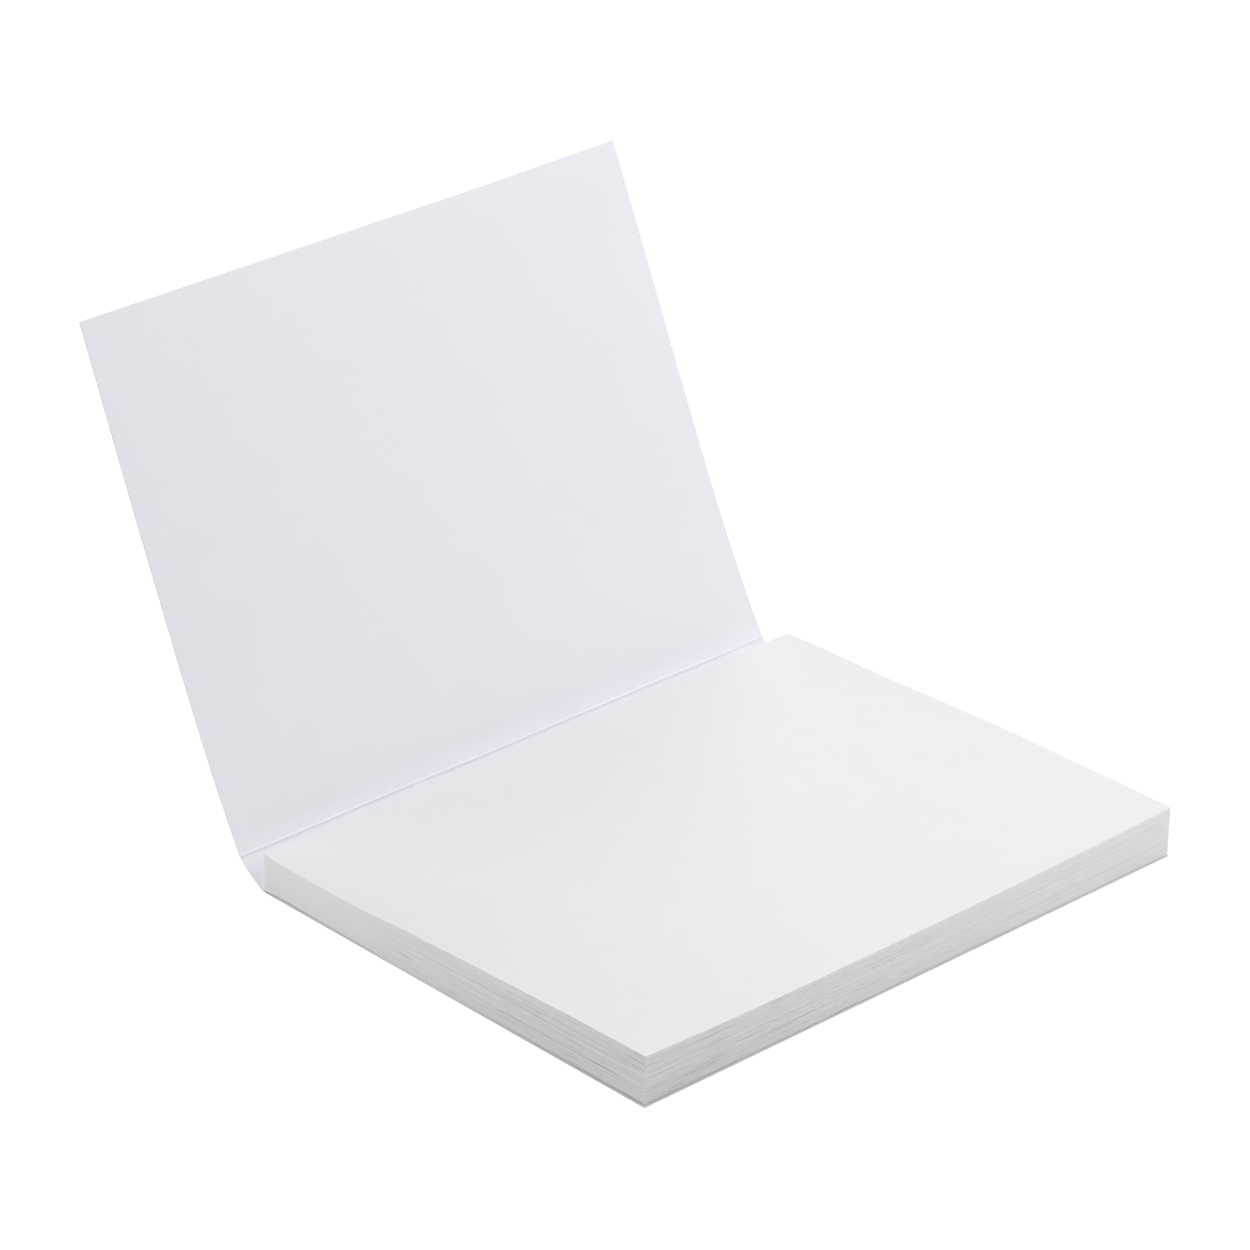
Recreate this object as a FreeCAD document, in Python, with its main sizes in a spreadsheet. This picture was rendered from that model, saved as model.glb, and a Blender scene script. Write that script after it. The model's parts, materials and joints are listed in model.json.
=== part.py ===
import FreeCAD, Part
import os
import Sketcher

# A sticky note pad with a soft card cover, standing open on a table, in millimetres.
#
# The sheets are one block, tight where they are glued along the spine and fanned out a little at the
# free edge. The cover is one card, folded at two creases: a back panel that the block is stuck to,
# a narrow spine, and a front cover that leans back. The card turns at its creases as a book's cover
# does, so it is three pieces here, each drawn about the crease that it turns on.
#
# X runs along the spine and +Y from the free edge of the sheets to the spine. +Z is up. The origin is
# on the table, under the middle of the sheets.

SIZES = {
    "pad_width": 100,
    "pad_depth": 75,
    "glued_thickness": 5.75,
    "fan_rise": 1.45,
    "glued_depth": 17.5,
    "fanned_depth": 22.5,
    "card_thickness": 0.3,
    "crease_clearance": 0.02,
    "spine_clearance": 0.1,
    "cover_clearance": 0.1,
    "cover_overhang": 0.25,
    "spine_angle": 36,
    "spine_curl": 18,
    "cover_angle": 64.6,
    "cover_bend": 4,
    "cover_bend_length": 12,
}

doc = FreeCAD.newDocument("sticky_note_pad")
sizes = doc.addObject("Spreadsheet::Sheet", "sizes")
for row, (name, value) in enumerate(SIZES.items(), start=1):
    sizes.set(f"A{row}", name)
    sizes.set(f"B{row}", str(value))
    sizes.setAlias(f"B{row}", name)
doc.recompute()

# Values that follow from the sheet, as the expressions that the pieces are bound to.
half_card = "sizes.card_thickness / 2"
radian = "180 / pi"

# Each panel ends this far from the middle of a crease, so that the card can fold square there.
crease_gap = f"({half_card} + sizes.crease_clearance)"

# The lower crease lies just behind the sheets, so that the spine can stand up against them.
lower_crease_y = f"(sizes.pad_depth / 2 + sizes.spine_clearance + {half_card})"
lower_crease_z = f"({half_card})"

# The spine is as tall, from crease to crease, as the closed cover needs to clear the glued sheets.
spine_height = "(sizes.glued_thickness + sizes.card_thickness + sizes.cover_clearance)"
upper_crease_y = f"({lower_crease_y} + {spine_height} * cos(sizes.spine_angle))"
upper_crease_z = f"({lower_crease_z} + {spine_height} * sin(sizes.spine_angle))"

# Closed, the front cover reaches from the spine to just past the free edge of the sheets.
cover_reach = f"(sizes.pad_depth + sizes.spine_clearance + {half_card} + sizes.cover_overhang)"


# How a sketch numbers the two ends of an edge, and its own origin.
START, END = 1, 2
SKETCH_ORIGIN = (-1, START)


class Outline:
    """A closed side view in a body's own YZ plane, with every corner and radius bound to the sheet."""

    def __init__(self, body):
        self.sketch = body.newObject("Sketcher::SketchObject", body.Name + "_outline")
        planes = body.Origin.OriginFeatures
        side_plane = next(plane for plane in planes if plane.Role == "YZ_Plane")
        self.sketch.AttachmentSupport = [(side_plane, "")]
        self.sketch.MapMode = "FlatFace"

    def measure(self, expression):
        """The number that an expression gives now."""
        return float(self.sketch.evalExpression(expression))

    def bind(self, kind, target, expression):
        """Add one driving constraint and tie it to the sheet."""
        index = self.sketch.addConstraint(Sketcher.Constraint(kind, *target, self.measure(expression)))
        self.sketch.setExpression(f"Constraints[{index}]", expression)

    def close(self, corners, arcs=None):
        """Join the corners in turn.

        An arc is keyed by the corner that it starts from, and holds its radius and its centre.
        A negative radius is an arc that runs clockwise.
        """
        arcs = arcs or {}
        points = [FreeCAD.Vector(self.measure(y), self.measure(z), 0) for y, z in corners]
        ends = {}
        for index, point in enumerate(points):
            following = points[(index + 1) % len(points)]
            if index not in arcs:
                edge = self.sketch.addGeometry(Part.LineSegment(point, following))
                ends[index] = (edge, START, END)
                continue
            radius, centre = arcs[index]
            middle = FreeCAD.Vector(self.measure(centre[0]), self.measure(centre[1]), 0)
            clockwise = radius.startswith("-")
            first, last = (following, point) if clockwise else (point, following)
            circle = Part.Circle(middle, FreeCAD.Vector(0, 0, 1), abs(self.measure(radius)))
            arc = Part.ArcOfCircle(circle, circle.parameter(first), circle.parameter(last))
            edge = self.sketch.addGeometry(arc)
            ends[index] = (edge, END, START) if clockwise else (edge, START, END)
        for index, (y, z) in enumerate(corners):
            edge, start, end = ends[index]
            following, following_start, _ = ends[(index + 1) % len(corners)]
            joint = Sketcher.Constraint("Coincident", edge, end, following, following_start)
            self.sketch.addConstraint(joint)
            self.bind("DistanceX", (*SKETCH_ORIGIN, edge, start), y)
            self.bind("DistanceY", (*SKETCH_ORIGIN, edge, start), z)
            if index in arcs:
                self.bind("Radius", (edge,), arcs[index][0].lstrip("-"))


def extrude_across(body, outline):
    """Give the side view the pad's width, half to each side."""
    panel = body.newObject("PartDesign::Pad", body.Name + "_panel")
    panel.Profile = outline.sketch
    panel.Midplane = True
    panel.setExpression("Length", "sizes.pad_width")
    outline.sketch.Visibility = False
    return panel


def place(body, y, z, angle="0"):
    """Turn a body about X, and put its own origin at y and z."""
    about_x = FreeCAD.Vector(1, 0, 0)
    body.Placement.Rotation = FreeCAD.Rotation(about_x, float(body.evalExpression(angle)))
    body.setExpression("Placement.Base.y", y)
    body.setExpression("Placement.Base.z", z)
    body.setExpression("Placement.Rotation.Angle", angle)


def new_body(label):
    body = doc.addObject("PartDesign::Body", label)
    body.Label = label
    return body


def make_sheet_block():
    """The sheets: level over the glue, then up an easy S to the fanned free edge."""
    body = new_body("sheet_block")
    back = "sizes.pad_depth / 2"
    glue_end = f"({back} - sizes.glued_depth)"
    fan_end = f"(sizes.fanned_depth - {back})"
    fan_middle = f"(({glue_end} + {fan_end}) / 2)"
    full_height = "(sizes.glued_thickness + sizes.fan_rise)"
    half_way_up = "(sizes.glued_thickness + sizes.fan_rise / 2)"
    # Two equal arcs make the S, tangent to each other and to the level stretches.
    bend_radius = f"((({glue_end} - {fan_end}) ^ 2 + sizes.fan_rise ^ 2) / (4 * sizes.fan_rise))"
    corners = [
        (f"(-{back})", "0"),
        (back, "0"),
        (back, "sizes.glued_thickness"),
        (glue_end, "sizes.glued_thickness"),
        (fan_middle, half_way_up),
        (fan_end, full_height),
        (f"(-{back})", full_height),
    ]
    arcs = {
        3: (f"-{bend_radius}", (glue_end, f"(sizes.glued_thickness + {bend_radius})")),
        4: (bend_radius, (fan_end, f"({full_height} - {bend_radius})")),
    }
    outline = Outline(body)
    outline.close(corners, arcs)
    extrude_across(body, outline)
    place(body, "0", "sizes.card_thickness")
    return body


def make_back_cover():
    """The flat panel under the sheets, from their free edge to the lower crease."""
    body = new_body("back_cover")
    front = "(-sizes.pad_depth / 2)"
    back = f"({lower_crease_y} - {crease_gap})"
    outline = Outline(body)
    outline.close([
        (front, "0"),
        (back, "0"),
        (back, "sizes.card_thickness"),
        (front, "sizes.card_thickness"),
    ])
    extrude_across(body, outline)
    return body


def make_spine():
    """The strip between the creases, bowed outwards, drawn along +Y from the lower crease."""
    body = new_body("spine")
    bow_radius = f"({spine_height} / (2 * sin(sizes.spine_curl / 2)))"
    middle_y = f"({spine_height} / 2)"
    middle_z = f"({bow_radius} * cos(sizes.spine_curl / 2))"
    half_sweep = f"(sizes.spine_curl / 2 - {crease_gap} / {bow_radius} * {radian})"
    outside = f"({bow_radius} + {half_card})"
    inside = f"({bow_radius} - {half_card})"

    def end(radius, side):
        """A corner of the strip, at one radius, on the lower (-) or the upper (+) side."""
        y = f"({middle_y} {side} {radius} * sin({half_sweep}))"
        z = f"({middle_z} - {radius} * cos({half_sweep}))"
        return y, z

    outline = Outline(body)
    outline.close(
        [end(outside, "-"), end(outside, "+"), end(inside, "+"), end(inside, "-")],
        {0: (outside, (middle_y, middle_z)), 2: (f"-{inside}", (middle_y, middle_z))},
    )
    extrude_across(body, outline)
    place(body, lower_crease_y, lower_crease_z, "sizes.spine_angle")
    return body


def make_front_cover():
    """The cover that opens, drawn along +Y from the upper crease, with a slight set near it."""
    body = new_body("front_cover")
    bend_radius = f"(sizes.cover_bend_length / sizes.cover_bend * {radian})"
    middle_y = f"({bend_radius} * sin(sizes.cover_bend))"
    middle_z = f"({bend_radius} * cos(sizes.cover_bend))"
    sweep = f"(sizes.cover_bend - {crease_gap} / {bend_radius} * {radian})"
    outside = f"({bend_radius} + {half_card})"
    inside = f"({bend_radius} - {half_card})"

    def root(radius):
        """A corner of the panel beside the crease."""
        return f"({middle_y} - {radius} * sin({sweep}))", f"({middle_z} - {radius} * cos({sweep}))"

    def bend_end(radius):
        """Where the set runs out into the straight panel."""
        return middle_y, f"({middle_z} - {radius})"

    outline = Outline(body)
    outline.close(
        [
            root(outside),
            bend_end(outside),
            (cover_reach, bend_end(outside)[1]),
            (cover_reach, bend_end(inside)[1]),
            bend_end(inside),
            root(inside),
        ],
        {0: (outside, (middle_y, middle_z)), 4: (f"-{inside}", (middle_y, middle_z))},
    )
    extrude_across(body, outline)
    place(body, upper_crease_y, upper_crease_z, "sizes.cover_angle")
    return body


pieces = [make_sheet_block(), make_back_cover(), make_spine(), make_front_cover()]
doc.recompute()

for item in doc.Objects:
    if "Invalid" in item.State or "Error" in item.State:
        raise RuntimeError(f"{item.Name} could not be made: {item.State}")
for piece in pieces:
    if piece.Shape.isNull() or not piece.Shape.isValid():
        raise RuntimeError(f"{piece.Label} has no valid shape")

os.makedirs("parts", exist_ok=True)
for piece in pieces:
    piece.Shape.exportStep(f"parts/{piece.Label}.step")
    box = piece.Shape.BoundBox
    print(
        f"{piece.Label}: {piece.Shape.Volume:.1f} mm3, "
        f"Y {box.YMin:.2f} to {box.YMax:.2f}, Z {box.ZMin:.2f} to {box.ZMax:.2f}"
    )
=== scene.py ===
import json
import math
import bpy
import numpy as np
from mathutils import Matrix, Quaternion, Vector


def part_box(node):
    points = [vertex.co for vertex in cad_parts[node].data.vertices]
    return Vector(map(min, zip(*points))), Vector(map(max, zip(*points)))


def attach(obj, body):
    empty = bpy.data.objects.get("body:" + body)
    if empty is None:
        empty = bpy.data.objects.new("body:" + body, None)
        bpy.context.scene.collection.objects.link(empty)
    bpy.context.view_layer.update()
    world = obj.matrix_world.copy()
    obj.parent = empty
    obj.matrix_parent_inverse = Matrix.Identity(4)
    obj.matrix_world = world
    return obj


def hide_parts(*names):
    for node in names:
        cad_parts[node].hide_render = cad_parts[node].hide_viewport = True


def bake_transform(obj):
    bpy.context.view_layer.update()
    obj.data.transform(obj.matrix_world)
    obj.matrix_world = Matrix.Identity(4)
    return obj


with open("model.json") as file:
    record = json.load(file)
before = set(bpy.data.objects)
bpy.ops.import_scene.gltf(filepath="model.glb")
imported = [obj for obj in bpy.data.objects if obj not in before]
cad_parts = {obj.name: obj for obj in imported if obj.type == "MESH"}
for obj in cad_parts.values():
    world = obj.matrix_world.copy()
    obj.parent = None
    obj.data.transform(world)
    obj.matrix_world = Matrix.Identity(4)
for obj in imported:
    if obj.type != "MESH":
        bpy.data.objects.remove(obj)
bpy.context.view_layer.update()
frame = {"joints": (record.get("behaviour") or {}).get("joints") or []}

# The back of the cover: one end of a folded card, 0.3 mm thick, that the sheets are stuck to.
# It is smooth, faintly bluish cover card, cut square on a guillotine. It is scored across at the
# lower crease, and half of the spine rises from there. The front of the cover is the same card.
MM = 0.001
creases = {joint["name"]: Vector(joint["pos_m"]) / MM for joint in frame["joints"]}
lower_crease = creases["spine_hinge"]
upper_crease = creases["cover_hinge"]
panel_low, panel_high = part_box("back_cover")
half_width = panel_high.x / MM
half_card = (panel_high.z - panel_low.z) / MM / 2
back_length = lower_crease.y - panel_low.y / MM

# How the card leans, in radians from the table, and over how many mm each fold of it turns.
spine_chord = upper_crease - lower_crease
spine_curl = math.radians(18)
spine_length = spine_chord.length * (spine_curl / 2) / math.sin(spine_curl / 2)
spine_foot_lean = math.atan2(spine_chord.z, spine_chord.y) - spine_curl / 2
cover_lean = math.radians(64.6)
cover_bend = math.radians(4)
cover_bend_length = 12
fold_width = 0.9
fold_creep = 0.3
upper_fold = cover_lean - cover_bend - spine_foot_lean - spine_curl

# The scored creases stand up as a thin bead inside the cover, with a sharp step down under it.
bead_height = 0.10
bead_half_width = 0.19
bead_below_fold = 0.14
bead_waver = 0.09
bead_waver_length = 9
bead_unevenness = 0.3
bead_uneven_length = 5
step_depth = 0.17
step_width = 0.30
step_fade_start = 0.9
step_fade_length = 1.8
cut_rounding = 0.05

# How far apart the points of the card's mesh are, in mm: across it, along its flat stretch, along
# the spine, and in the folds, whose fine points reach a little past them on each side.
across_step = 1.0
flat_step = 2.5
spine_step = 0.3
fold_step = 0.08
fold_reach = 1

# Places are rounded, so that each run ends just where the next begins. Any mesh is hard at an edge
# that turns more than the sharp angle, and smooth elsewhere.
place_digits = 5
sharp_angle = math.radians(30)

# The card's faces are smooth, with one fleck inside the cover: where it is, its radius and how dark
# it is. The clouding of the outside is taken from another place than that of the inside.
card_colour = (0.868, 0.871, 0.922)
card_gloss = 0.22
roughness_spread = 0.05
fibre_relief = 0.01
card_fleck = ((-7.9, spine_length + 57.6, 0.0), 0.16, 0.22)
outside_shift = (0, 0, 40)

# The cut edge's colour is lighter, as painted light on the thin edge. Round the back panel it is
# darkened by painted shade from the table, up to the lower crease.
lit_card_cut_colour = (0.965, 0.963, 0.980)
painted_edge_shade_tone = 0.75
edge_shade_up_to = -2.5
edge_unshaded_from = 0.5


def ease(value):
    """0 up to 0, 1 from 1 on, and a smooth rise between them."""
    share = np.clip(value, 0, 1)
    return share * share * (3 - 2 * share)


def smooth_through(places, values, at):
    """A smooth curve through a few chosen values, with the slope at each from its neighbours."""
    places = np.array(places)
    values = np.array(values)
    at = np.clip(at, places[0], places[-1])
    slopes = np.gradient(values, places)
    index = np.clip(np.searchsorted(places, at) - 1, 0, len(places) - 2)
    span = places[index + 1] - places[index]
    share = (at - places[index]) / span
    rise = values[index + 1] - values[index]
    curve = values[index] + rise * ease(share)
    curve = curve + span * slopes[index] * share * (1 - share) ** 2
    return curve - span * slopes[index + 1] * share**2 * (1 - share)


def soft_noise(u, v, seed):
    """Smooth random values from -1 to 1, with a new one at each whole number of u and v."""
    cells = 256
    lattice = np.random.default_rng(seed).uniform(-1, 1, (cells, cells))
    column = np.floor(u).astype(int)
    row = np.floor(v).astype(int)
    right = ease(u - column)
    up = ease(v - row)
    near = lattice[column % cells, row % cells] * (1 - right)
    near = near + lattice[(column + 1) % cells, row % cells] * right
    far = lattice[column % cells, (row + 1) % cells] * (1 - right)
    far = far + lattice[(column + 1) % cells, (row + 1) % cells] * right
    return near * (1 - up) + far * up


def card_turn(along):
    """How far the card has turned up from the table, along mm past the lower crease."""
    turn = spine_foot_lean * ease(along / fold_width + 0.5)
    turn = turn + spine_curl * np.clip(along / spine_length, 0, 1)
    past_spine = along - spine_length + fold_creep
    turn = turn + upper_fold * ease(past_spine / fold_width + 0.5)
    return turn + cover_bend * np.clip(past_spine / cover_bend_length, 0, 1)


# The middle of the card, followed in small steps from the lower crease in both directions.
card_step = 0.02
walk_margin = 1
walk_end = 90
card_walk = np.arange(-back_length - walk_margin, walk_end, card_step)
card_y = np.cumsum(np.cos(card_turn(card_walk))) * card_step
card_z = np.cumsum(np.sin(card_turn(card_walk))) * card_step
card_y = card_y - np.interp(0, card_walk, card_y) + lower_crease.y
card_z = card_z - np.interp(-back_length, card_walk, card_z) + lower_crease.z


def stations(start, end, step):
    """Even places from start to end, about a step apart, with both ends."""
    return np.linspace(start, end, max(2, round(abs(end - start) / step) + 1))


def joined_stations(*runs):
    """Places along several runs in turn, each where the one before it ends."""
    places = np.concatenate([stations(*run) for run in runs])
    return np.unique(np.round(places, place_digits))


def bead(across, along, fold):
    """How far the scored bead and its furrow lift the inside of the card at a fold."""
    waver = bead_waver * soft_noise(across / bead_waver_length + fold, across * 0, seed=11)
    uneven = soft_noise(across / bead_uneven_length, across * 0 + fold, seed=12)
    strength = 1 + bead_unevenness * uneven
    under_bead = fold - bead_below_fold + waver - along
    rise = bead_height * strength * np.exp(-((under_bead / bead_half_width) ** 2))
    step = step_depth * (1 - np.exp(-np.maximum(under_bead, 0) / step_width))
    return rise - step * (1 - ease((under_bead - step_fade_start) / step_fade_length))


def set_point_values(mesh, name, kind, values):
    """Store a number or a vector for each point of a mesh, for its material to read."""
    key = "vector" if kind == "FLOAT_VECTOR" else "value"
    values = np.ascontiguousarray(values, np.float32)
    mesh.attributes.new(name, kind, "POINT").data.foreach_set(key, values.ravel())


def finish_mesh(name, points, faces, face_materials, materials):
    """Make an object from points in mm, with sharp cut edges and smooth surfaces."""
    mesh = bpy.data.meshes.new(name)
    mesh.from_pydata((np.asarray(points) * MM).tolist(), [], faces)
    for material in materials:
        mesh.materials.append(material)
    mesh.polygons.foreach_set("material_index", face_materials)
    mesh.shade_smooth()
    mesh.set_sharp_from_angle(angle=sharp_angle)
    piece = bpy.data.objects.new(name, mesh)
    bpy.context.scene.collection.objects.link(piece)
    return piece


def grid_faces(numbers):
    """The squares of a grid of point numbers that faces the side where it runs right and up."""
    corners = [numbers[:-1, :-1], numbers[1:, :-1], numbers[1:, 1:], numbers[:-1, 1:]]
    return np.stack(corners, -1).reshape(-1, 4).tolist()


def rim_of(numbers):
    """The point numbers round the edge of a grid, in turn."""
    sides = [numbers[:-1, 0], numbers[-1, :-1], numbers[:0:-1, -1], numbers[0, :0:-1]]
    return np.concatenate(sides)


def make_card(name, across, along, cut_ends, shape, materials):
    """A closed panel of the folded card, over places across and along it, in mm."""
    x, run = np.meshgrid(across, along, indexing="ij")
    side = np.stack([x, run, x * 0], -1).reshape(-1, 3)
    at_cut = np.abs(x) >= half_width
    for end in cut_ends:
        at_cut = at_cut | (run == end)
    half = half_card - cut_rounding * at_cut
    inside = half + bead(x, run, 0) + bead(x, run, spine_length - fold_creep)
    x, run, bent = shape(x, run)
    lean = card_turn(run)
    y = np.interp(run, card_walk, card_y)
    z = np.interp(run, card_walk, card_z)
    inside = inside + bent
    outside = bent - half
    points = []
    for lift in (inside, outside):
        face = np.stack([x, y - np.sin(lean) * lift, z + np.cos(lean) * lift], -1)
        points.append(face.reshape(-1, 3))
    numbers = np.arange(x.size).reshape(x.shape)
    faces = grid_faces(numbers)
    faces += [face[::-1] for face in grid_faces(numbers + x.size)]
    face_count = len(faces)
    rim = rim_of(numbers)
    following = np.roll(rim, -1)
    faces += np.stack([rim, rim + x.size, following + x.size, following], -1).tolist()
    kinds = [0] * face_count + [1] * (len(faces) - face_count)
    piece = finish_mesh(name, np.concatenate(points), faces, kinds, materials)
    places = np.concatenate([side, side + outside_shift])
    set_point_values(piece.data, "card_place", "FLOAT_VECTOR", places)
    return piece


def add_node(tree, kind, inputs=None, **settings):
    """Put a node in a tree. An input is a plain value, or the socket that feeds it."""
    node = tree.nodes.new(kind)
    for name, value in settings.items():
        setattr(node, name, value)
    for name, value in (inputs or {}).items():
        if isinstance(value, bpy.types.NodeSocket):
            tree.links.new(value, node.inputs[name])
        else:
            node.inputs[name].default_value = value
    return node


def maths(tree, operation, first, second=0.0):
    """One sum of two numbers or sockets."""
    return add_node(tree, "ShaderNodeMath", {0: first, 1: second}, operation=operation).outputs[0]


def new_group(name, inputs, outputs):
    """An empty node group with named sockets, its own tree and its two end nodes."""
    tree = bpy.data.node_groups.new(name, "ShaderNodeTree")
    for socket, (kind, value) in inputs.items():
        made = tree.interface.new_socket(socket, in_out="INPUT", socket_type=kind)
        made.default_value = value
    for socket in outputs:
        tree.interface.new_socket(socket, in_out="OUTPUT", socket_type="NodeSocketFloat")
    start = tree.nodes.new("NodeGroupInput")
    end = tree.nodes.new("NodeGroupOutput")
    return tree, start.outputs, end.inputs


def make_paper_grain():
    """Clouding of the pulp, and the fibres that lie in it, as a tone round 1 and a height."""
    tree, given, out = new_group(
        "paper_grain",
        {
            "Place": ("NodeSocketVector", (0, 0, 0)),
            "Cloud Size": ("NodeSocketFloat", 8.0),
            "Cloud Depth": ("NodeSocketFloat", 0.02),
            "Fibre Size": ("NodeSocketFloat", 0.2),
            "Fibre Depth": ("NodeSocketFloat", 0.02),
        },
        ["Tone", "Cloud", "Height"],
    )
    cloud_scale = maths(tree, "DIVIDE", 1.0, given["Cloud Size"])
    cloud = add_node(
        tree,
        "ShaderNodeTexNoise",
        {"Vector": given["Place"], "Scale": cloud_scale, "Detail": 3.0, "Roughness": 0.55},
    )
    fibre_scale = maths(tree, "DIVIDE", 1.0, given["Fibre Size"])
    fibre = add_node(
        tree,
        "ShaderNodeTexNoise",
        {"Vector": given["Place"], "Scale": fibre_scale, "Detail": 2.0, "Distortion": 2.0},
    )
    noise_middle = 0.5
    clouding = maths(tree, "SUBTRACT", cloud.outputs[0], noise_middle)
    fibres = maths(tree, "SUBTRACT", fibre.outputs[0], noise_middle)
    cloud_tone = maths(tree, "MULTIPLY", clouding, given["Cloud Depth"])
    fibre_tone = maths(tree, "MULTIPLY", fibres, given["Fibre Depth"])
    tone = maths(tree, "ADD", maths(tree, "ADD", cloud_tone, fibre_tone), 1.0)
    tree.links.new(tone, out["Tone"])
    tree.links.new(cloud.outputs[0], out["Cloud"])
    tree.links.new(fibre.outputs[0], out["Height"])
    return tree


def make_fleck():
    """One tiny dark fleck of bark in the pulp, as a mask that is 1 in its middle."""
    tree, given, out = new_group(
        "fleck",
        {
            "Place": ("NodeSocketVector", (0, 0, 0)),
            "Centre": ("NodeSocketVector", (0, 0, 0)),
            "Radius": ("NodeSocketFloat", 0.1),
        },
        ["Mask"],
    )
    away = add_node(
        tree,
        "ShaderNodeVectorMath",
        {0: given["Place"], 1: given["Centre"]},
        operation="DISTANCE",
    )
    share = maths(tree, "DIVIDE", away.outputs["Value"], given["Radius"])
    mask = add_node(
        tree,
        "ShaderNodeMapRange",
        {"Value": share, "From Min": 1.0, "From Max": 0.4, "To Min": 0.0, "To Max": 1.0},
    )
    tree.links.new(mask.outputs[0], out["Mask"])
    return tree


paper_grain = make_paper_grain()
fleck = make_fleck()


def placed(tree, group, inputs):
    """A node group, placed in a material with its own values."""
    return add_node(tree, "ShaderNodeGroup", inputs, node_tree=group)


def new_material(name):
    """A material, its tree and its Principled shader."""
    material = bpy.data.materials.new(name)
    material.use_nodes = True
    tree = material.node_tree
    return material, tree, tree.nodes["Principled BSDF"]


def toned(tree, colour, tone):
    """A colour made lighter or darker by a tone."""
    scaled = add_node(tree, "ShaderNodeVectorMath", {0: colour, "Scale": tone}, operation="SCALE")
    return scaled.outputs[0]


def flecked(tree, tone, place, flecks):
    """A tone with dark flecks in it, each given as its place, its radius and how dark it is."""
    for centre, radius, depth in flecks:
        spot = placed(tree, fleck, {"Place": place, "Centre": centre, "Radius": radius})
        dark = maths(tree, "MULTIPLY", spot.outputs["Mask"], depth)
        tone = maths(tree, "MULTIPLY", tone, maths(tree, "SUBTRACT", 1.0, dark))
    return tone


def make_card_material(name, colour, roughness, cloud_depth, fibre_depth, bump, flecks, edge_shade):
    """Cover card, faintly clouded, with its back panel darkened by painted shade, a tone under 1."""
    material, tree, shader = new_material(name)
    place = add_node(tree, "ShaderNodeAttribute", attribute_name="card_place").outputs["Vector"]
    grain = placed(
        tree,
        paper_grain,
        {
            "Place": place,
            "Cloud Size": 14.0,
            "Cloud Depth": cloud_depth,
            "Fibre Size": 0.35,
            "Fibre Depth": fibre_depth,
        },
    )
    tone = flecked(tree, grain.outputs["Tone"], place, flecks)
    # Painted shade: the tone falls towards the back panel, up to the lower crease.
    past_crease = add_node(tree, "ShaderNodeSeparateXYZ", {0: place}).outputs["Y"]
    edge_shading = add_node(
        tree,
        "ShaderNodeMapRange",
        {
            "Value": past_crease,
            "From Min": edge_shade_up_to,
            "From Max": edge_unshaded_from,
            "To Min": edge_shade,
            "To Max": 1.0,
        },
    )
    tone = maths(tree, "MULTIPLY", tone, edge_shading.outputs[0])
    tree.links.new(toned(tree, colour, tone), shader.inputs["Base Color"])
    sheen = add_node(
        tree,
        "ShaderNodeMapRange",
        {
            "Value": grain.outputs["Cloud"],
            "To Min": roughness - roughness_spread,
            "To Max": roughness + roughness_spread,
        },
    )
    tree.links.new(sheen.outputs[0], shader.inputs["Roughness"])
    shader.inputs["Specular IOR Level"].default_value = card_gloss
    relief = add_node(
        tree,
        "ShaderNodeBump",
        {"Height": grain.outputs["Height"], "Strength": bump, "Distance": fibre_relief * MM},
    )
    tree.links.new(relief.outputs[0], shader.inputs["Normal"])
    return material


card_face = make_card_material(
    "cover_card_face",
    card_colour,
    roughness=0.6,
    cloud_depth=0.03,
    fibre_depth=0.012,
    bump=0.5,
    flecks=[card_fleck],
    edge_shade=1.0,
)
# The cut edge: its colour holds painted light, and round the back panel it has painted shade.
card_cut = make_card_material(
    "cover_card_cut_edge",
    lit_card_cut_colour,
    roughness=0.8,
    cloud_depth=0.04,
    fibre_depth=0.06,
    bump=1.0,
    flecks=[],
    edge_shade=painted_edge_shade_tone,
)


def flat_shape(x, run):
    """The back of the card stays as it was cut: neither trimmed nor bowed."""
    return x, run, x * 0


card_across = np.concatenate([
    [-half_width],
    stations(cut_rounding - half_width, half_width - cut_rounding, across_step),
    [half_width],
])
spine_join = spine_length / 2
card_back = make_card(
    "card_back",
    card_across,
    joined_stations(
        (-back_length, cut_rounding - back_length, flat_step),
        (cut_rounding - back_length, -fold_reach, flat_step),
        (-fold_reach, fold_reach, fold_step),
        (fold_reach, spine_join, spine_step),
    ),
    [-round(back_length, place_digits)],
    flat_shape,
    [card_face, card_cut],
)


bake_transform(card_back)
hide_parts("back_cover", "spine")

# The sheets: 50 leaves of white writing paper, stuck to each other in a band along the spine edge.
# The stack is cut flush on a guillotine. It is tight over the glue and airy at the free edge, where
# the corners have lifted. The last leaf is stuck to the card and gapes a little round its edge.
sheets_low, sheets_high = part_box("sheet_block")
half_depth = sheets_high.y / MM
card_top = sheets_low.z / MM
sheet_count = 50
sheet_thickness = 0.106

# Heights of the top sheet above the table, from the free edge to the spine edge: along the pad's
# left side, its middle and its right side. The left side turns up or down more sharply.
height_places = (-37.5, -20.0, -5.0, 8.0, 20.0, 31.0, 37.5)
left_heights = (7.70, 7.34, 6.88, 6.42, 5.82, 5.76, 5.76)
middle_heights = (7.00, 6.95, 6.80, 6.60, 6.42, 6.32, 6.08)
right_heights = (7.68, 7.62, 7.48, 7.06, 6.57, 6.42, 6.08)
left_sharpness = 2.8
right_sharpness = 1.8

# The top sheet ripples faintly, and its back left corner curls up.
ripple_height = 0.02
ripple_width = 14
ripple_depth = 9
curl_height = 0.3
curl_reach = 1.6

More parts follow.
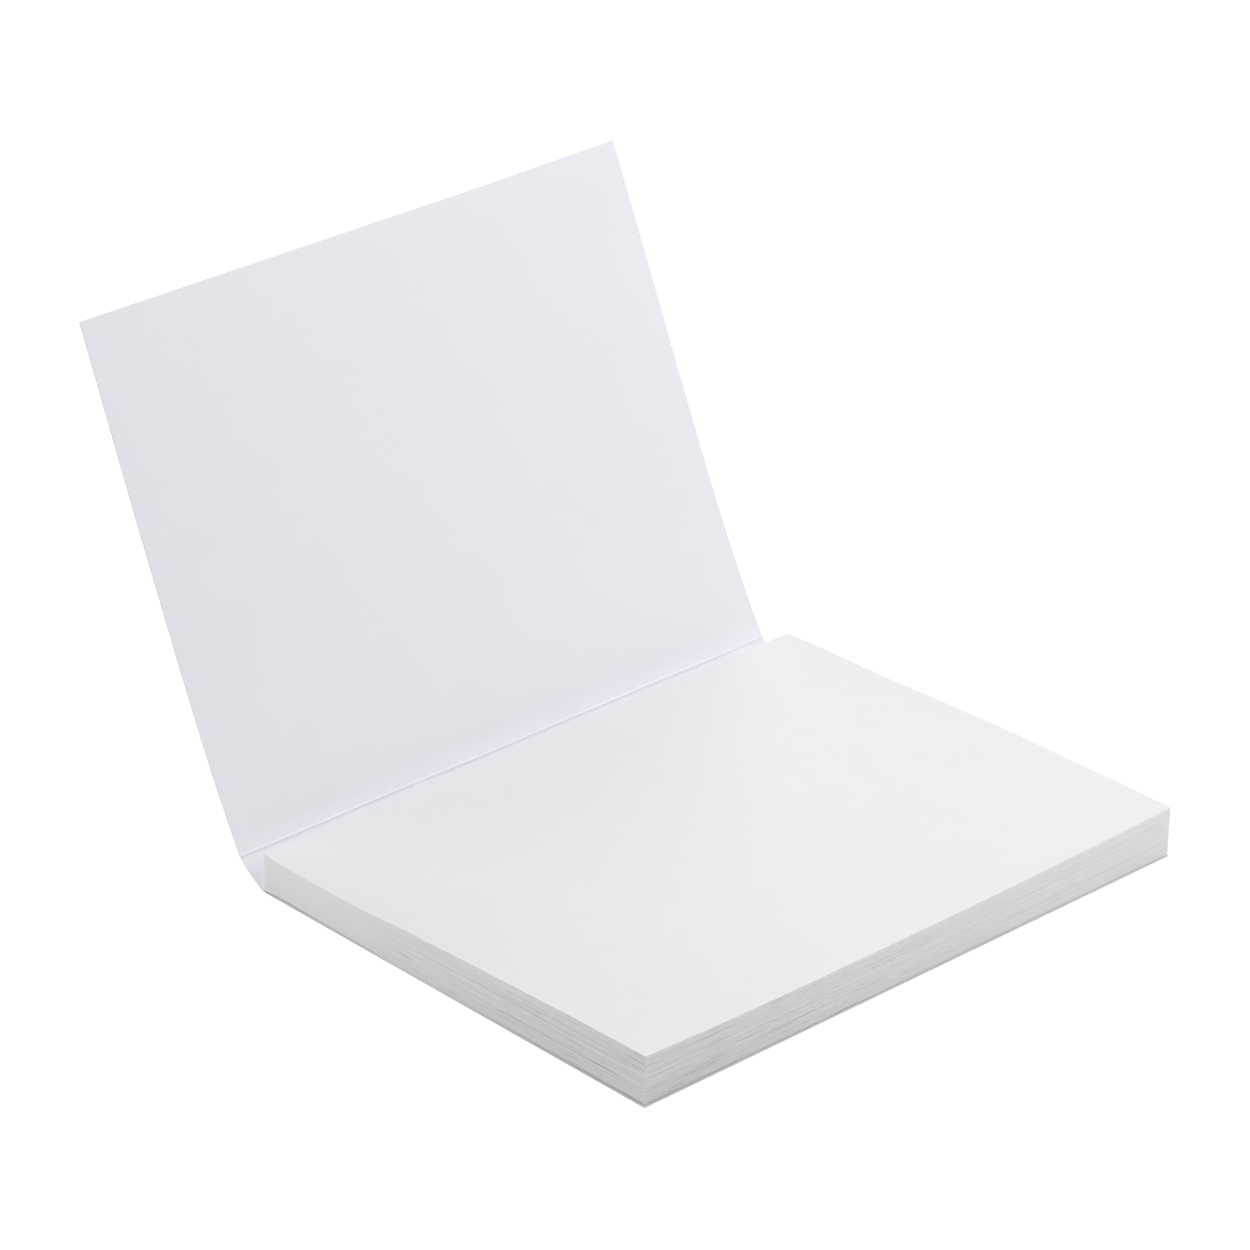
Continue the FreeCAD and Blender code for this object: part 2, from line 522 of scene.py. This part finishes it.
# How far the edge of the last sheet stands off the card, along the pad's sides and along its front.
side_gape_places = (-37.5, -28.0, -18.0, -5.0, 2.0, 9.0, 14.0, 24.0, 36.0, 37.5)
side_gapes = (0.30, 0.22, 0.15, 0.07, 0.03, 0.03, 0.08, 0.13, 0.13, 0.05)
front_gape_places = (-50, -38, -20, 20, 50)
front_gapes = (0.30, 0.24, 0.19, 0.16, 0.17)
gape_turn = 0.5

# The stack is tight from the end of the glue to the spine edge, and loosens over this length.
glue_end = 20
loosening_length = 15

# How unevenly the air is shared out: in bunches of sheets, from place to place, and for each sheet.
air_bunching = 0.3
air_bunch_sheets = 4
air_bunch_length = 25
air_stray = 0.7
air_stray_length = 12
air_lasting = 0.5

# How deep the grooves between the sheets are, and how far their edges are out of line. Here and
# there one is drawn in. The edges are most ragged round the near corner.
notch_least = 0.012
notch_per_air = 4.0
notch_most = 0.6
edge_stagger = 0.006
stagger_length = 8
recess_depth = 0.16
recess_share = 0.42
recess_length = 6.0
far_raggedness = 0.4
ragged_reach = 45

# One sheet low in the left side has a small nick.
nick_sheet = 18
nick_place = 9.2
nick_half_length = 1.5
nick_depth = 0.25

# How light the cut edges are. Each sheet has its own tone, which shows where the stack is airy.
# Painted shade darkens the edges round the near corner, and the lower sheets more than the upper.
# Painted light lightens them towards the right side, and the four corners themselves have a
# painted highlight.
sheet_tone = 0.045
glued_sheet_tone = 0.02
near_corner_shade_tone = -0.045
near_corner_shade_reach = 32
right_side_light_tone = 0.03
low_sheet_shade_tone = -0.025
corner_highlight_tone = 0.07

# The corners are cut off by a hair. Below the last sheet's edge the block goes in, down to the card.
corner_softening = 0.2
corner_cut = 0.12
undercut = 2.5
undercut_lip = 0.6
grid_step = 1.0

# The paper, with its flecks: where each one is, its radius and how dark it is.
paper_colour = (0.807, 0.805, 0.819)
paper_gloss = 0.2
paper_relief = 0.012
top_flecks = [((34.5, -16.8, 7.3), 0.2, 0.08), ((-11.9, -35.0, 7.2), 0.2, 0.06)]
paper_cut_colour = (0.909, 0.903, 0.908)
paper_cut_gloss = 0.15
front_fleck = ((-5.1, -37.5, 4.5), 0.14, 0.5)


def top_height(x, y):
    """Height of the top sheet above the table, in mm."""
    middle = smooth_through(height_places, middle_heights, y)
    left = smooth_through(height_places, left_heights, y)
    right = smooth_through(height_places, right_heights, y)
    side = np.where(x < 0, left, right)
    sharpness = np.where(x < 0, left_sharpness, right_sharpness)
    return middle + (side - middle) * np.abs(x / half_width) ** sharpness


def last_sheet_gape(x, y):
    """How far the edge of the last sheet stands off the card, in mm."""
    along_side = smooth_through(side_gape_places, side_gapes, y)
    along_front = smooth_through(front_gape_places, front_gapes, x)
    front_share = np.clip(1 - (y + half_depth) / gape_turn, 0, 1)
    return along_side * (1 - front_share) + along_front * front_share


def grid_places(half):
    """Places across the sheets, with a short step at each end for the softened corners."""
    start = [-half, corner_softening - half]
    inner = stations(grid_step - half, half - grid_step, grid_step)
    return np.concatenate([start, inner, [half - corner_softening, half]])


def inset(x, y, depth):
    """Points of the outline, moved in from each side by a depth."""
    return x * (1 - depth / half_width), y * (1 - depth / half_depth)


def make_top_sheet():
    """The top sheet: the grid of its places, its height as it lies, its curl, and its corners."""
    x, y = np.meshgrid(grid_places(half_width), grid_places(half_depth), indexing="ij")
    at_corner = (np.abs(x) == half_width) & (np.abs(y) == half_depth)
    x = x - np.sign(x) * corner_cut * at_corner
    y = y - np.sign(y) * corner_cut * at_corner
    ripple = ripple_height * soft_noise(x / ripple_width, y / ripple_depth, seed=21)
    from_curl = np.hypot(x + half_width, y - half_depth)
    curl = curl_height * np.exp(-((from_curl / curl_reach) ** 2))
    return x, y, top_height(x, y) + ripple, curl, at_corner


class Rim:
    """The places in turn round the cut edge of the stack, and how loose and ragged it is there."""

    def __init__(self, x, y, at_corner):
        self.points = rim_of(np.arange(x.size).reshape(x.shape))
        self.x = x.ravel()[self.points]
        self.y = y.ravel()[self.points]
        self.at_corner = at_corner.ravel()[self.points]
        self.run = np.cumsum(np.hypot(self.x - np.roll(self.x, 1), self.y - np.roll(self.y, 1)))
        self.on_left = self.x < grid_step - half_width
        self.from_near = np.hypot(self.x + half_width, self.y + half_depth)
        self.loose = ease((glue_end - self.y) / loosening_length)
        nearness = np.exp(-((self.from_near / ragged_reach) ** 2))
        ragged = far_raggedness + (1 - far_raggedness) * nearness
        self.ragged = ragged * (1 - self.at_corner)


def share_out_air(rim, air):
    """The gap above each sheet but the top one, in mm, which add up to the air in the stack."""
    gap = np.arange(sheet_count - 1)[:, None]
    bunched = air_bunching * soft_noise(gap / air_bunch_sheets, rim.run / air_bunch_length, seed=22)
    stray = air_stray * soft_noise(gap, rim.run / air_stray_length, seed=23)
    lasting = air_lasting * np.random.default_rng(seed=24).normal(0, 1, gap.shape)
    weight = np.exp((bunched + stray + lasting) * rim.loose)
    return air * weight / weight.sum(0)


def draw_in_edges(rim):
    """How far the edge of each sheet lies behind the cut, in mm."""
    sheet = np.arange(sheet_count)[:, None]
    stagger = edge_stagger * np.abs(soft_noise(sheet, rim.run / stagger_length, seed=26))
    wander = soft_noise(sheet, rim.run / recess_length, seed=25)
    recess = np.maximum((wander - recess_share) / (1 - recess_share), 0)
    stagger = stagger + recess_depth * recess * rim.loose * rim.ragged
    nick = np.exp(-(((rim.y - nick_place) / nick_half_length) ** 2))
    stagger[nick_sheet] += nick_depth * nick * rim.on_left
    return stagger


def stack_edges(rim, underside, gaps, curl):
    """The wall of the stack from the top down: rows of points, and which sheet each row is of."""
    stagger = draw_in_edges(rim)
    notch = notch_least + np.minimum(gaps * notch_per_air, notch_most) * rim.ragged
    rows = []
    row_sheets = []

    def add_row(sheet, depth, height):
        """Put a row at a height, in from the cut by a depth."""
        x, y = inset(rim.x, rim.y, depth)
        rows.append(np.stack([x, y, height], -1))
        row_sheets.append(sheet)

    for sheet in range(sheet_count - 1, -1, -1):
        low = underside[sheet]
        if sheet == sheet_count - 1:
            low = low + curl
        else:
            add_row(sheet, stagger[sheet], low + sheet_thickness)
        add_row(sheet, stagger[sheet], low)
        if sheet > 0:
            behind = np.maximum(stagger[sheet], stagger[sheet - 1]) + notch[sheet - 1]
            top_below = underside[sheet - 1] + sheet_thickness
            add_row(sheet - 0.5, behind, (low + top_below) / 2)
    add_row(0, undercut_lip, underside[0])
    add_row(0, undercut, rim.x * 0 + card_top)
    return rows, row_sheets


def edge_tones(rim, row_sheets):
    """How much lighter or darker the cut edge is along the top sheet, and along each row below."""
    # Painted shade at the near corner, painted light to the right, painted highlights on the
    # corners.
    rim_tone = near_corner_shade_tone * np.exp(-((rim.from_near / near_corner_shade_reach) ** 2))
    rim_tone = rim_tone + right_side_light_tone * ease(rim.x / half_width) + corner_highlight_tone * rim.at_corner
    sheet = np.array(row_sheets)[:, None]
    own_tone = np.random.default_rng(seed=27).uniform(-0.5, 0.5, sheet_count)
    spread = glued_sheet_tone + (sheet_tone - glued_sheet_tone) * rim.loose
    # Painted shade on the lower sheets.
    row_tone = rim_tone + low_sheet_shade_tone * (1 - sheet / sheet_count)
    return rim_tone, row_tone + own_tone[np.round(sheet).astype(int)] * spread


def make_sheets(materials):
    """One closed mesh: the top sheet, and round it the edge of each sheet and the gap under it."""
    x, y, stack_top, curl, at_corner = make_top_sheet()
    rim = Rim(x, y, at_corner)
    base = card_top + last_sheet_gape(rim.x, rim.y)
    air = stack_top.ravel()[rim.points] - base - sheet_count * sheet_thickness
    gaps = share_out_air(rim, air)
    underside = base + sheet_thickness * np.arange(sheet_count)[:, None]
    underside[1:] += np.cumsum(gaps, 0)
    rows, row_sheets = stack_edges(rim, underside, gaps, curl.ravel()[rim.points])

    top = np.stack([x, y, stack_top + curl], -1).reshape(-1, 3)
    faces = grid_faces(np.arange(x.size).reshape(x.shape))
    kinds = [0] * len(faces)
    wall = x.size + np.arange(len(rows) * len(rim.points)).reshape(len(rows), -1)
    wall = np.concatenate([rim.points[None, :], wall])
    above = wall[:-1]
    below = wall[1:]
    wall_faces = np.stack([above, below, np.roll(below, -1, 1), np.roll(above, -1, 1)], -1)
    faces += wall_faces.reshape(-1, 4).tolist()
    kinds += [1] * (len(faces) - len(kinds))
    faces.append(wall[-1][::-1].tolist())
    kinds.append(0)
    piece = finish_mesh("sheets", np.concatenate([top, *rows]), faces, kinds, materials)

    rim_tone, row_tone = edge_tones(rim, row_sheets)
    tones = np.concatenate([np.zeros(x.size), row_tone.ravel()])
    tones[rim.points] = rim_tone
    set_point_values(piece.data, "edge_tone", "FLOAT", tones)
    return piece


def paper_place(tree):
    """Where a point of the sheets is, in mm."""
    place = add_node(tree, "ShaderNodeTexCoord").outputs["Object"]
    scaled = add_node(tree, "ShaderNodeVectorMath", {0: place, "Scale": 1 / MM}, operation="SCALE")
    return scaled.outputs[0]


def make_paper_face():
    """The face of the writing paper: matt, with soft clouding and fine fibres."""
    material, tree, shader = new_material("note_paper_face")
    place = paper_place(tree)
    grain = placed(
        tree,
        paper_grain,
        {
            "Place": place,
            "Cloud Size": 5.0,
            "Cloud Depth": 0.02,
            "Fibre Size": 0.16,
            "Fibre Depth": 0.03,
        },
    )
    tone = flecked(tree, grain.outputs["Tone"], place, top_flecks)
    tree.links.new(toned(tree, paper_colour, tone), shader.inputs["Base Color"])
    shader.inputs["Roughness"].default_value = 0.9
    shader.inputs["Specular IOR Level"].default_value = paper_gloss
    relief = add_node(
        tree,
        "ShaderNodeBump",
        {"Height": grain.outputs["Height"], "Strength": 0.8, "Distance": paper_relief * MM},
    )
    tree.links.new(relief.outputs[0], shader.inputs["Normal"])
    return material


def make_paper_cut():
    """The cut edges of the sheets: lighter and darker by their edge tone, with fine cut fibres."""
    material, tree, shader = new_material("note_paper_cut_edge")
    place = paper_place(tree)
    grain = placed(
        tree,
        paper_grain,
        {
            "Place": place,
            "Cloud Size": 9.0,
            "Cloud Depth": 0.03,
            "Fibre Size": 0.1,
            "Fibre Depth": 0.08,
        },
    )
    edge_tone = add_node(tree, "ShaderNodeAttribute", attribute_name="edge_tone").outputs["Fac"]
    tone = maths(tree, "ADD", grain.outputs["Tone"], edge_tone)
    tone = flecked(tree, tone, place, [front_fleck])
    tree.links.new(toned(tree, paper_cut_colour, tone), shader.inputs["Base Color"])
    shader.inputs["Roughness"].default_value = 0.95
    shader.inputs["Specular IOR Level"].default_value = paper_cut_gloss
    return material


sheets = make_sheets([make_paper_face(), make_paper_cut()])
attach(sheets, "pad")
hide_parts("sheet_block")

# The front of the cover: the rest of the same card, from the middle of the spine to its free edge.
# It is folded at the upper crease and leans back by itself. Near the fold it still has a slight set
# from lying closed, and it is nowhere quite flat.
cover_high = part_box("front_cover")[1]
cover_top = cover_high.z / MM - half_card * math.cos(cover_lean)
cover_end = float(np.interp(cover_top, card_z, card_walk))
bend_step = 1
cover_step = 2

# How far it waves, with no wave at the fold, and how far it bows back at places above the crease.
warp_depth = 0.12
warp_length = 28
warp_start = 30
warp_shift = 7
bow_places = (0.0, 7.0, 14.0, 20.0, 28.0, 40.0, 55.0, 72.0)
bow_depths = (0.0, 0.24, 0.52, 0.71, 0.75, 0.66, 0.48, 0.27)

# Each side is trimmed in a little towards the free edge, and the right corner there is a bit long.
trim_at_end = 0.57
trim_power = 0.75
corner_excess = 0.24
excess_from = 0.35


def cover_shape(x, run):
    """Where a point of the cover really is: trimmed by hand, bowed above the crease, and uneven."""
    risen = np.maximum(run - spine_length, 0)
    share = risen / (cover_end - spine_length)
    warp = soft_noise(x / warp_length + warp_shift, run / warp_length, seed=31)
    warp = warp * warp_depth * ease(risen / warp_start)
    bent = warp - smooth_through(bow_places, bow_depths, risen)
    narrower = trim_at_end * share**trim_power / half_width
    longer = corner_excess * share * ease((x / half_width - excess_from) / (1 - excess_from))
    return x * (1 - narrower), run + longer, bent


cover_cut = round(cover_end, place_digits)
card_front = make_card(
    "card_front",
    card_across,
    joined_stations(
        (spine_join, spine_length - fold_reach, spine_step),
        (spine_length - fold_reach, spine_length + fold_reach, fold_step),
        (spine_length + fold_reach, spine_length + cover_bend_length, bend_step),
        (spine_length + cover_bend_length, cover_cut - cut_rounding, cover_step),
        (cover_cut - cut_rounding, cover_cut, cover_step),
    ),
    [cover_cut],
    cover_shape,
    [card_face, card_cut],
)
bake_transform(card_front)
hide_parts("front_cover", "spine")

# The studio: a wide white table under a white surround, lit by large soft lamps.
# The table shows white to the camera and in reflections, apart from the pad's own soft shadow.
# To other light it is a plain pale table.
table_half_size = 3.0
table_drop = 0.05 * MM
table_colour = (0.80, 0.80, 0.80, 1)
shown_table_colour = (0.60, 0.60, 0.60, 1)
shown_table_glow = 0.84
surround_colour = (1, 1, 1, 1)
surround_light = 0.25
lamp_target = Vector((0, 0, 0.02))


def seen_directly(tree):
    """1 for what the camera sees, by itself or in gloss or glass, and 0 for light that spreads."""
    rays = add_node(tree, "ShaderNodeLightPath").outputs
    seen = maths(tree, "MAXIMUM", rays["Is Camera Ray"], rays["Is Glossy Ray"])
    return maths(tree, "MAXIMUM", seen, rays["Is Transmission Ray"])


def make_table():
    """A flat square of table just under the pad."""
    corners = [(-1, -1), (1, -1), (1, 1), (-1, 1)]
    points = [(x * table_half_size, y * table_half_size, -table_drop) for x, y in corners]
    mesh = bpy.data.meshes.new("table")
    mesh.from_pydata(points, [], [(0, 1, 2, 3)])
    material = bpy.data.materials.new("table")
    material.use_nodes = True
    tree = material.node_tree
    tree.nodes.remove(tree.nodes["Principled BSDF"])
    plain = add_node(tree, "ShaderNodeBsdfDiffuse", {"Color": table_colour}).outputs[0]
    shown = add_node(tree, "ShaderNodeBsdfDiffuse", {"Color": shown_table_colour}).outputs[0]
    glow = add_node(tree, "ShaderNodeEmission", {"Strength": shown_table_glow}).outputs[0]
    lit = add_node(tree, "ShaderNodeAddShader", {0: shown, 1: glow}).outputs[0]
    mixed = add_node(tree, "ShaderNodeMixShader", {0: seen_directly(tree), 1: plain, 2: lit})
    tree.links.new(mixed.outputs[0], tree.nodes["Material Output"].inputs["Surface"])
    mesh.materials.append(material)
    table = bpy.data.objects.new("table", mesh)
    bpy.context.scene.collection.objects.link(table)


def make_surround():
    """A white world, softer for the light that it gives than for the camera."""
    world = bpy.data.worlds.new("surround")
    world.use_nodes = True
    tree = world.node_tree
    strength = add_node(
        tree,
        "ShaderNodeMapRange",
        {"Value": seen_directly(tree), "To Min": surround_light, "To Max": 1.0},
    )
    tree.links.new(strength.outputs[0], tree.nodes["Background"].inputs["Strength"])
    tree.nodes["Background"].inputs["Color"].default_value = surround_colour
    bpy.context.scene.world = world


def make_lamp(name, place, size, power):
    """A square soft lamp that faces the pad."""
    lamp = bpy.data.lights.new(name, "AREA")
    lamp.shape = "SQUARE"
    lamp.size = size
    lamp.energy = power
    holder = bpy.data.objects.new(name, lamp)
    holder.location = place
    holder.rotation_euler = (lamp_target - Vector(place)).to_track_quat("-Z", "Y").to_euler()
    bpy.context.scene.collection.objects.link(holder)


make_table()
make_surround()
make_lamp("right_lamp", place=(0.42, -0.2, 0.35), size=0.3, power=1.22)
make_lamp("front_lamp", place=(0.1, -0.8, 0.5), size=0.5, power=1.41)
make_lamp("left_lamp", place=(-0.8, 0.1, 0.3), size=0.5, power=1.37)
make_lamp("overhead_lamp", place=(0.05, 0.08, 0.7), size=0.35, power=1.51)
make_lamp("back_left_lamp", place=(-0.5, 0.7, 0.6), size=0.5, power=1.53)
make_lamp("back_right_lamp", place=(0.6, 0.6, 0.35), size=0.4, power=1.96)

# The camera: it looks down at the near corner of the sheets from the left, through a long lens.
# The picture is square, with the pad in its middle and white all round it.
camera_place = Vector((-493.2, -491.2, 388.2)) * MM
camera_target = Vector((14.8, 35.1, 20.0)) * MM
camera_roll = math.radians(1.22)
camera_lens = 167.4
camera = bpy.data.objects.new("camera", bpy.data.cameras.new("camera"))
camera.location = camera_place
camera.rotation_mode = "QUATERNION"
aim = (camera_target - camera_place).to_track_quat("-Z", "Y")
camera.rotation_quaternion = aim @ Quaternion((0, 0, 1), camera_roll)
camera.data.lens = camera_lens
camera.data.clip_start = 0.01
camera.data.clip_end = 20
bpy.context.scene.collection.objects.link(camera)
bpy.context.scene.camera = camera
bpy.context.scene.view_settings.view_transform = "Standard"
